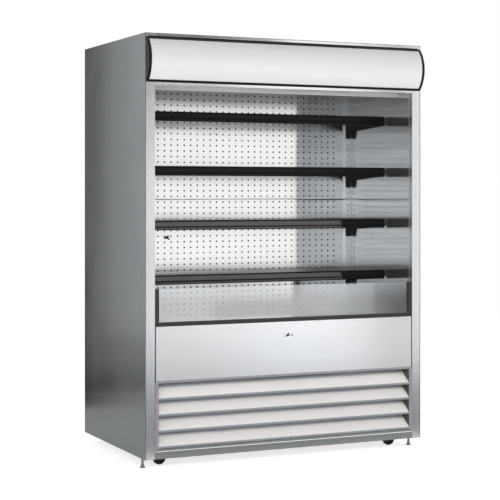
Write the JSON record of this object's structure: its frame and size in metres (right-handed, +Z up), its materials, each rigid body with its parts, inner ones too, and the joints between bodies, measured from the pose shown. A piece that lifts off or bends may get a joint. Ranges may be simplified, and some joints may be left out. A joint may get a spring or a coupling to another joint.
{
  "type": "open multideck display fridge",
  "caption": "Open-fronted stainless display cabinet with bracket shelves, curved lit header, front glass, louvred base, casters and a pull-down night blind.",
  "frame": {"origin": "on the floor, at the centre of the footprint's bounding box", "axes": "+Z up, +X to the right of a person facing the open front, +Y towards the back"},
  "size_m": [1.22, 0.7626, 1.668],
  "materials": {
    "outer_steel": "satin",
    "post_steel": "satin",
    "liner_steel": "polished",
    "galvanised_steel": "matte",
    "front_steel": "satin",
    "louvre_enamel": "satin",
    "base_paint": "satin",
    "black_trim": "satin",
    "price_rail": "gloss",
    "bracket_paint": "satin",
    "light_panel": "satin",
    "glass": "clear",
    "chrome": "polished",
    "aluminium": "satin",
    "blind_fabric": "matte",
    "lamp_tube": "satin",
    "honeycomb": "matte",
    "coil_fins": "satin",
    "compressor_paint": "satin",
    "fan_plastic": "matte",
    "tyre": "matte",
    "zinc": "satin"
  },
  "bodies": {
    "cabinet": {"side_wall_left": "outer_steel", "side_wall_right": "outer_steel", "corner_post_left": "post_steel", "corner_post_right": "post_steel", "back_wall": "galvanised_steel", "rear_vent_cover": "galvanised_steel", "top_panel": "outer_steel", "base_frame": "base_paint", "floor_tub": "galvanised_steel", "deck_pan": "liner_steel", "duct_panel_lower": "liner_steel", "duct_panel_upper": "liner_steel", "canopy_ceiling": "liner_steel", "air_outlet_honeycomb": "honeycomb", "top_rail": "post_steel", "blind_cloth": "blind_fabric", "blind_catch": "chrome", "lower_front_panel": "front_steel", "louvre_grille": "louvre_enamel", "glass_frame": "black_trim", "front_glass": "glass", "shelf_upright_left": "liner_steel", "shelf_upright_right": "liner_steel", "shelf_1": "liner_steel", "shelf_2": "liner_steel", "shelf_3": "liner_steel", "shelf_4": "liner_steel", "price_rail_1": "price_rail", "price_rail_2": "price_rail", "price_rail_3": "price_rail", "price_rail_4": "price_rail", "shelf_bracket_1_left": "bracket_paint", "shelf_bracket_1_right": "bracket_paint", "shelf_bracket_2_left": "bracket_paint", "shelf_bracket_2_right": "bracket_paint", "shelf_bracket_3_left": "bracket_paint", "shelf_bracket_3_right": "bracket_paint", "shelf_bracket_4_left": "bracket_paint", "shelf_bracket_4_right": "bracket_paint", "header_housing": "black_trim", "header_light_panel": "light_panel", "header_lamp": "lamp_tube", "header_end_cap_left": "black_trim", "header_end_cap_right": "black_trim", "condenser_coil": "coil_fins", "compressor": "compressor_paint", "evaporator_coil": "coil_fins", "temperature_probe": "black_trim"},
    "blind_roller": {"blind_roller": "blind_fabric"},
    "blind_bar": {"blind_pull_bar": "aluminium"},
    "condenser_fan": {"condenser_fan": "fan_plastic"},
    "evaporator_fan": {"evaporator_fan": "fan_plastic"},
    "foot_left": {"levelling_foot_left": "zinc"},
    "foot_right": {"levelling_foot_right": "zinc"},
    "fork_front_left": {"caster_fork_front_left": "zinc"},
    "fork_front_right": {"caster_fork_front_right": "zinc"},
    "wheel_front_left": {"caster_wheel_front_left": "tyre"},
    "wheel_front_right": {"caster_wheel_front_right": "tyre"},
    "wheel_rear_left": {"caster_wheel_rear_left": "tyre"},
    "wheel_rear_right": {"caster_wheel_rear_right": "tyre"}
  },
  "joints": [
    {"name": "blind_pull", "type": "slide", "parent": "cabinet", "child": "blind_bar", "axis": [0, -0.0564, -0.9984], "range_m": [0, 1], "stiffness_N_per_m": 12, "springref_m": -0.8, "deforming": ["blind_cloth"]},
    {"name": "blind_roller_spin", "type": "hinge", "parent": "cabinet", "child": "blind_roller", "pos_m": [0, -0.2857, 1.516], "axis": [1, 0, 0], "range_deg": [-5, 3190]},
    {"name": "condenser_fan_spin", "type": "hinge", "parent": "cabinet", "child": "condenser_fan", "pos_m": [-0.29, -0.1982, 0.209], "axis": [0, 1, 0], "continuous": true},
    {"name": "evaporator_fan_spin", "type": "hinge", "parent": "cabinet", "child": "evaporator_fan", "pos_m": [0, 0.1373, 0.43675], "axis": [0, 1, 0], "continuous": true},
    {"name": "foot_left_screw", "type": "slide", "parent": "cabinet", "child": "foot_left", "axis": [0, 0, 1], "range_m": [-0.015, 0.018]},
    {"name": "foot_right_screw", "type": "slide", "parent": "cabinet", "child": "foot_right", "axis": [0, 0, 1], "range_m": [-0.015, 0.018]},
    {"name": "caster_swivel_left", "type": "hinge", "parent": "cabinet", "child": "fork_front_left", "pos_m": [-0.497, -0.2417, 0.06], "axis": [0, 0, 1], "continuous": true},
    {"name": "caster_swivel_right", "type": "hinge", "parent": "cabinet", "child": "fork_front_right", "pos_m": [0.497, -0.2417, 0.06], "axis": [0, 0, 1], "continuous": true},
    {"name": "wheel_front_left_roll", "type": "hinge", "parent": "fork_front_left", "child": "wheel_front_left", "pos_m": [-0.515, -0.2417, 0.0266], "axis": [0, 1, 0], "continuous": true},
    {"name": "wheel_front_right_roll", "type": "hinge", "parent": "fork_front_right", "child": "wheel_front_right", "pos_m": [0.515, -0.2417, 0.0266], "axis": [0, 1, 0], "continuous": true},
    {"name": "wheel_rear_left_roll", "type": "hinge", "parent": "cabinet", "child": "wheel_rear_left", "pos_m": [-0.515, 0.2773, 0.025], "axis": [1, 0, 0], "continuous": true},
    {"name": "wheel_rear_right_roll", "type": "hinge", "parent": "cabinet", "child": "wheel_rear_right", "pos_m": [0.515, 0.2773, 0.025], "axis": [1, 0, 0], "continuous": true}
  ],
  "couplings": [
    {"joint": "blind_roller_spin", "follows": "blind_pull", "rad_per_m": 55.56}
  ]
}
